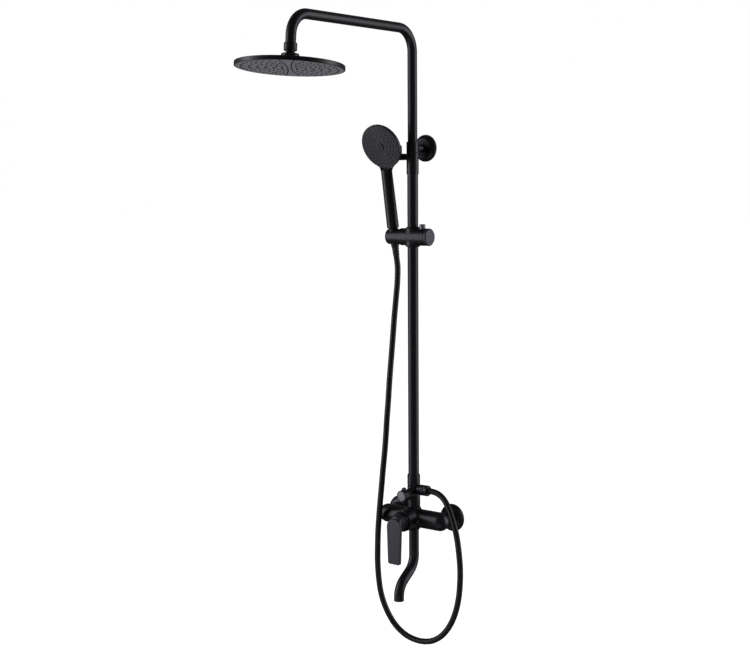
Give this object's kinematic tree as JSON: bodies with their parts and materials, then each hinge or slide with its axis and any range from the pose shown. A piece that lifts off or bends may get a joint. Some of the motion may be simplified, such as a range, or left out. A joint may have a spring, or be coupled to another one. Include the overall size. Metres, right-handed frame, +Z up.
{
  "type": "rainfall shower column",
  "caption": "Wall-mounted black bar mixer with swivel spout, telescopic riser with overhead arm and round rain head, slide-rail hand shower and hose.",
  "frame": {"origin": "on the wall face, midway between the hot and cold inlets", "axes": "+X right as seen by the bather, +Y into the wall, +Z up along the riser"},
  "size_m": [0.2549, 0.5998, 1.4358],
  "materials": {
    "matte_black": "satin matt black powder coat",
    "lever_black": "satin matt black powder coat",
    "hand_black": "satin black moulding",
    "satin_grey": "satin silver grey",
    "face_grey": "satin grey plate",
    "nozzle_rubber": "soft silicone",
    "hose_black": "black corrugated jacket",
    "sleeve_rubber": "matt black",
    "brass": "turned",
    "steel": "brushed stainless steel",
    "white_plastic": "natural acetal",
    "fibre": "red fibre",
    "aerator_plastic": "grey moulding"
  },
  "bodies": {
    "column": {"mixer_body": "matte_black", "unions": "brass", "inlet_nuts": "matte_black", "fibre_washers": "fibre", "roses": "matte_black", "cartridge": "white_plastic", "cartridge_nut": "brass", "cartridge_dome": "matte_black", "tee_body": "matte_black", "diverter_valve": "white_plastic", "diverter_gland": "matte_black", "hose_check_valve": "white_plastic", "hose_nut": "matte_black", "shower_hose": "hose_black", "riser_nut": "matte_black", "riser_pipe": "matte_black", "lock_sleeve": "matte_black", "bracket_ring": "matte_black", "bracket_arm": "matte_black", "bracket_plate": "steel", "bracket_rose": "matte_black"},
    "lever_turn": {"stem_carrier": "white_plastic", "stem_pin": "steel"},
    "lever": {"cartridge_stem": "brass", "mixer_lever": "lever_black", "lever_screw": "steel"},
    "diverter": {"diverter_spindle": "brass", "diverter_knob": "matte_black", "diverter_face": "satin_grey"},
    "spout": {"spout": "matte_black", "spout_seals": "nozzle_rubber", "aerator": "aerator_plastic"},
    "lock_lever": {"lock_screw": "steel", "lock_lever": "matte_black"},
    "telescope": {"telescope_bush": "white_plastic", "telescope_seals": "nozzle_rubber"},
    "overhead": {"overhead_pipe": "matte_black", "ball_nut": "matte_black"},
    "ball_liner": {"ball_liner": "white_plastic"},
    "ball_seat": {"ball_seat": "white_plastic"},
    "rain_head": {"ball_cap": "matte_black", "rain_shell": "matte_black", "rain_nozzles": "nozzle_rubber", "rain_face": "face_grey"},
    "slider": {"slider_body": "matte_black", "slider_liner": "white_plastic", "slider_end_cap": "satin_grey", "button_spring": "steel", "brake_spring": "steel", "hose_sleeve": "sleeve_rubber"},
    "button": {"slider_button": "satin_grey"},
    "brake": {"brake_shoe": "white_plastic"},
    "holder": {"hand_holder": "matte_black"},
    "hand_shower": {"hand_cone_nut": "matte_black", "hose_washer": "fibre", "hand_handle": "hand_black", "hand_nozzles": "nozzle_rubber", "hand_face": "face_grey", "hand_hub": "hand_black"}
  },
  "joints": [
    {"name": "lever_turn", "type": "hinge", "parent": "column", "child": "lever_turn", "pos_m": [0, -0.098, 0], "axis": [0, 1, 0], "range_deg": [-45, 45]},
    {"name": "lever_lift", "type": "hinge", "parent": "lever_turn", "child": "lever", "pos_m": [0, -0.098, 0], "axis": [-1, 0, 0], "range_deg": [0, 23]},
    {"name": "diverter_turn", "type": "hinge", "parent": "column", "child": "diverter", "pos_m": [0, -0.052, 0.059], "axis": [0, 1, 0], "range_deg": [-90, 90]},
    {"name": "spout_swing", "type": "hinge", "parent": "column", "child": "spout", "pos_m": [0, -0.052, -0.05], "axis": [0, 0, 1], "range_deg": [-60, 60]},
    {"name": "lock_lever_swing", "type": "hinge", "parent": "column", "child": "lock_lever", "pos_m": [-0.0358, -0.052, 0.841], "axis": [-1, 0, 0], "range_deg": [0, 90]},
    {"name": "telescope_height", "type": "slide", "parent": "column", "child": "telescope", "axis": [0, 0, 1], "range_m": [-0.18, 0.15]},
    {"name": "arm_swing", "type": "hinge", "parent": "telescope", "child": "overhead", "pos_m": [0, -0.052, 1], "axis": [0, 0, 1], "range_deg": [-70, 70]},
    {"name": "head_tilt_fore", "type": "hinge", "parent": "overhead", "child": "ball_liner", "pos_m": [0, -0.4713, 1.03706], "axis": [1, 0, 0], "range_deg": [-10, 10]},
    {"name": "head_tilt_side", "type": "hinge", "parent": "ball_liner", "child": "ball_seat", "pos_m": [0, -0.4713, 1.03706], "axis": [0, 0.9969, -0.0785], "range_deg": [-10, 10]},
    {"name": "head_spin", "type": "hinge", "parent": "ball_seat", "child": "rain_head", "pos_m": [0, -0.4713, 1.03706], "axis": [0, 0.0785, 0.9969], "continuous": true},
    {"name": "slider_height", "type": "slide", "parent": "column", "child": "slider", "axis": [0, 0, 1], "range_m": [-0.3, 0.11], "deforming": ["shower_hose", "hose_sleeve"]},
    {"name": "slider_button_press", "type": "slide", "parent": "slider", "child": "button", "axis": [0, 0, -1], "range_m": [0, 0.003], "stiffness_N_per_m": 900, "springref_m": -0.002, "deforming": ["button_spring"]},
    {"name": "brake_release", "type": "slide", "parent": "slider", "child": "brake", "axis": [1, 0, 0], "range_m": [0, 0.0012], "deforming": ["brake_spring"]},
    {"name": "holder_tilt", "type": "hinge", "parent": "slider", "child": "holder", "pos_m": [-0.054, -0.052, 0.658], "axis": [1, 0, 0], "range_deg": [0, 35]},
    {"name": "handset_turn", "type": "hinge", "parent": "holder", "child": "hand_shower", "pos_m": [-0.054, -0.052, 0.658], "axis": [0, -0.1797, 0.9837], "range_deg": [-75, 0]}
  ],
  "couplings": [
    {"joint": "brake_release", "follows": "slider_button_press", "ratio": 0.4}
  ]
}
